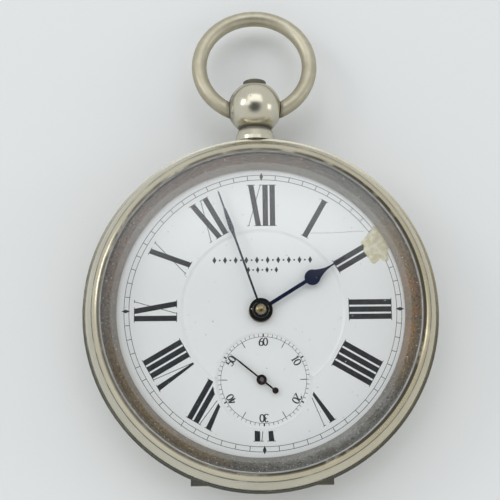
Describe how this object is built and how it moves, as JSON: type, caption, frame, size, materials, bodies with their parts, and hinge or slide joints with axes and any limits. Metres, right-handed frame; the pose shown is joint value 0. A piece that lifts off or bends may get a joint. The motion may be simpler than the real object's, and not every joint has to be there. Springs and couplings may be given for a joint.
{
  "type": "open face pocket watch",
  "caption": "Open face key wound pocket watch: hinged back and inner cover, enamel dial with Roman numerals, bow, geared movement.",
  "frame": {"origin": "centre of the resting face of the back cover", "axes": "+Y to the pendant and XII, +Z out of the dial, +X to III"},
  "size_m": [0.052, 0.0744, 0.0149],
  "materials": {
    "nickel_case": "satin, worn nickel silver",
    "gilt_cover": "engine turned, polished",
    "clear_glass": "polished, bevelled edge",
    "white_enamel": "fired glossy enamel",
    "blued_steel": "heat blued, polished",
    "gilt_brass": "frosted gilt",
    "wheel_brass": "fine grained",
    "ruby": "polished",
    "polished_steel": "polished"
  },
  "bodies": {
    "case": {"balance_cock": "gilt_brass", "barrel_bridge": "gilt_brass", "bezel": "nickel_case", "bridge_screws": "blued_steel", "centre_bridge": "gilt_brass", "click_screw": "blued_steel", "click_spring": "polished_steel", "crystal": "clear_glass", "dial": "white_enamel", "dial_centre": "white_enamel", "dial_seconds": "white_enamel", "escape_bridge": "gilt_brass", "fourth_bridge": "gilt_brass", "hairspring": "blued_steel", "hairspring_stud": "polished_steel", "hinge_pin": "polished_steel", "jewels": "ruby", "lock_spring": "polished_steel", "main_plate": "gilt_brass", "middle_case": "nickel_case", "pallet_bridge": "gilt_brass", "pendant_ball": "nickel_case", "pendant_neck": "nickel_case", "push_spring": "polished_steel", "third_bridge": "gilt_brass"},
    "back": {"back_cover": "nickel_case"},
    "inner_cover": {"cuvette": "gilt_cover"},
    "bow": {"bow": "nickel_case"},
    "push": {"pendant_push": "blued_steel"},
    "minute": {"centre_wheel": "wheel_brass", "centre_pinion": "polished_steel", "setting_arbor": "polished_steel", "cannon_pinion": "polished_steel", "minute_hand": "blued_steel", "centre_cap": "wheel_brass"},
    "minute_work": {"minute_wheel": "wheel_brass"},
    "hour": {"hour_wheel": "wheel_brass", "hour_hand": "blued_steel"},
    "third": {"third_wheel": "wheel_brass", "third_pinion": "polished_steel"},
    "seconds": {"fourth_wheel": "wheel_brass", "fourth_pinion": "polished_steel", "seconds_hand": "blued_steel"},
    "escape": {"escape_wheel": "polished_steel", "escape_pinion": "polished_steel"},
    "barrel": {"barrel_drum": "gilt_brass", "barrel_cover": "gilt_brass", "mainspring": "polished_steel"},
    "winding": {"barrel_arbor": "polished_steel", "ratchet_wheel": "polished_steel"},
    "click": {"click": "polished_steel"},
    "balance": {"balance_wheel": "gilt_brass", "balance_staff": "polished_steel", "roller": "polished_steel", "impulse_jewel": "ruby", "hairspring_collet": "wheel_brass"},
    "lever": {"pallet_fork": "polished_steel", "pallet_staff": "polished_steel", "pallet_stones": "ruby"},
    "regulator": {"regulator": "polished_steel"}
  },
  "joints": [
    {"name": "back_hinge", "type": "hinge", "parent": "case", "child": "back", "pos_m": [0, -0.02435, 0.0042], "axis": [-1, 0, 0], "range_deg": [0, 90]},
    {"name": "inner_cover_hinge", "type": "hinge", "parent": "case", "child": "inner_cover", "pos_m": [0, -0.02435, 0.0042], "axis": [-1, 0, 0], "range_deg": [0, 79]},
    {"name": "bow_swivel", "type": "hinge", "parent": "case", "child": "bow", "pos_m": [-0.0005, 0.0315, 0.00665], "axis": [1, 0, 0], "range_deg": [-115, 136]},
    {"name": "push_press", "type": "slide", "parent": "case", "child": "push", "axis": [0, -1, 0], "range_m": [0, 0.0005], "stiffness_N_per_m": 800, "springref_m": -0.0005, "deforming": ["push_spring"]},
    {"name": "minute_turn", "type": "hinge", "parent": "case", "child": "minute", "pos_m": [0, 0, 0.008], "axis": [0, 0, -1], "continuous": true},
    {"name": "hour_turn", "type": "hinge", "parent": "case", "child": "hour", "pos_m": [0, 0, 0.009], "axis": [0, 0, -1], "continuous": true},
    {"name": "minute_work_turn", "type": "hinge", "parent": "case", "child": "minute_work", "pos_m": [-0.00318, 0.00169, 0.0084], "axis": [0, 0, -1], "continuous": true},
    {"name": "third_turn", "type": "hinge", "parent": "case", "child": "third", "pos_m": [-0.00368, -0.00577, 0.006], "axis": [0, 0, -1], "continuous": true},
    {"name": "seconds_turn", "type": "hinge", "parent": "case", "child": "seconds", "pos_m": [0, -0.01, 0.006], "axis": [0, 0, -1], "continuous": true},
    {"name": "escape_turn", "type": "hinge", "parent": "case", "child": "escape", "pos_m": [0.00539, -0.01004, 0.006], "axis": [0, 0, -1], "continuous": true},
    {"name": "barrel_turn", "type": "hinge", "parent": "case", "child": "barrel", "pos_m": [-0.00437, 0.00938, 0.006], "axis": [0, 0, -1], "continuous": true},
    {"name": "winding_turn", "type": "hinge", "parent": "case", "child": "winding", "pos_m": [-0.00437, 0.00938, 0.005], "axis": [0, 0, 1], "continuous": true},
    {"name": "click_lift", "type": "hinge", "parent": "case", "child": "click", "pos_m": [-0.00959, 0.00695, 0.003], "axis": [0, 0, -1], "range_deg": [0, 8], "stiffness_Nm_per_rad": 0.00002},
    {"name": "balance_swing", "type": "hinge", "parent": "case", "child": "balance", "pos_m": [0.01142, -0.0036, 0.006], "axis": [0, 0, 1], "range_deg": [-270, 270], "stiffness_Nm_per_rad": 0.000003},
    {"name": "lever_rock", "type": "hinge", "parent": "case", "child": "lever", "pos_m": [0.0083, -0.00694, 0.007], "axis": [0, 0, 1], "range_deg": [-5, 5]},
    {"name": "regulator_shift", "type": "hinge", "parent": "case", "child": "regulator", "pos_m": [0.01142, -0.0036, 0.003], "axis": [0, 0, 1], "range_deg": [-20, 20]}
  ],
  "couplings": [
    {"joint": "inner_cover_hinge", "follows": "back_hinge", "ratio": 0.87678},
    {"joint": "hour_turn", "follows": "minute_turn", "ratio": 0.083333},
    {"joint": "minute_work_turn", "follows": "minute_turn", "ratio": -0.33333},
    {"joint": "third_turn", "follows": "minute_turn", "ratio": -8},
    {"joint": "seconds_turn", "follows": "minute_turn", "ratio": 60},
    {"joint": "escape_turn", "follows": "minute_turn", "ratio": -600},
    {"joint": "barrel_turn", "follows": "minute_turn", "ratio": -0.125}
  ]
}
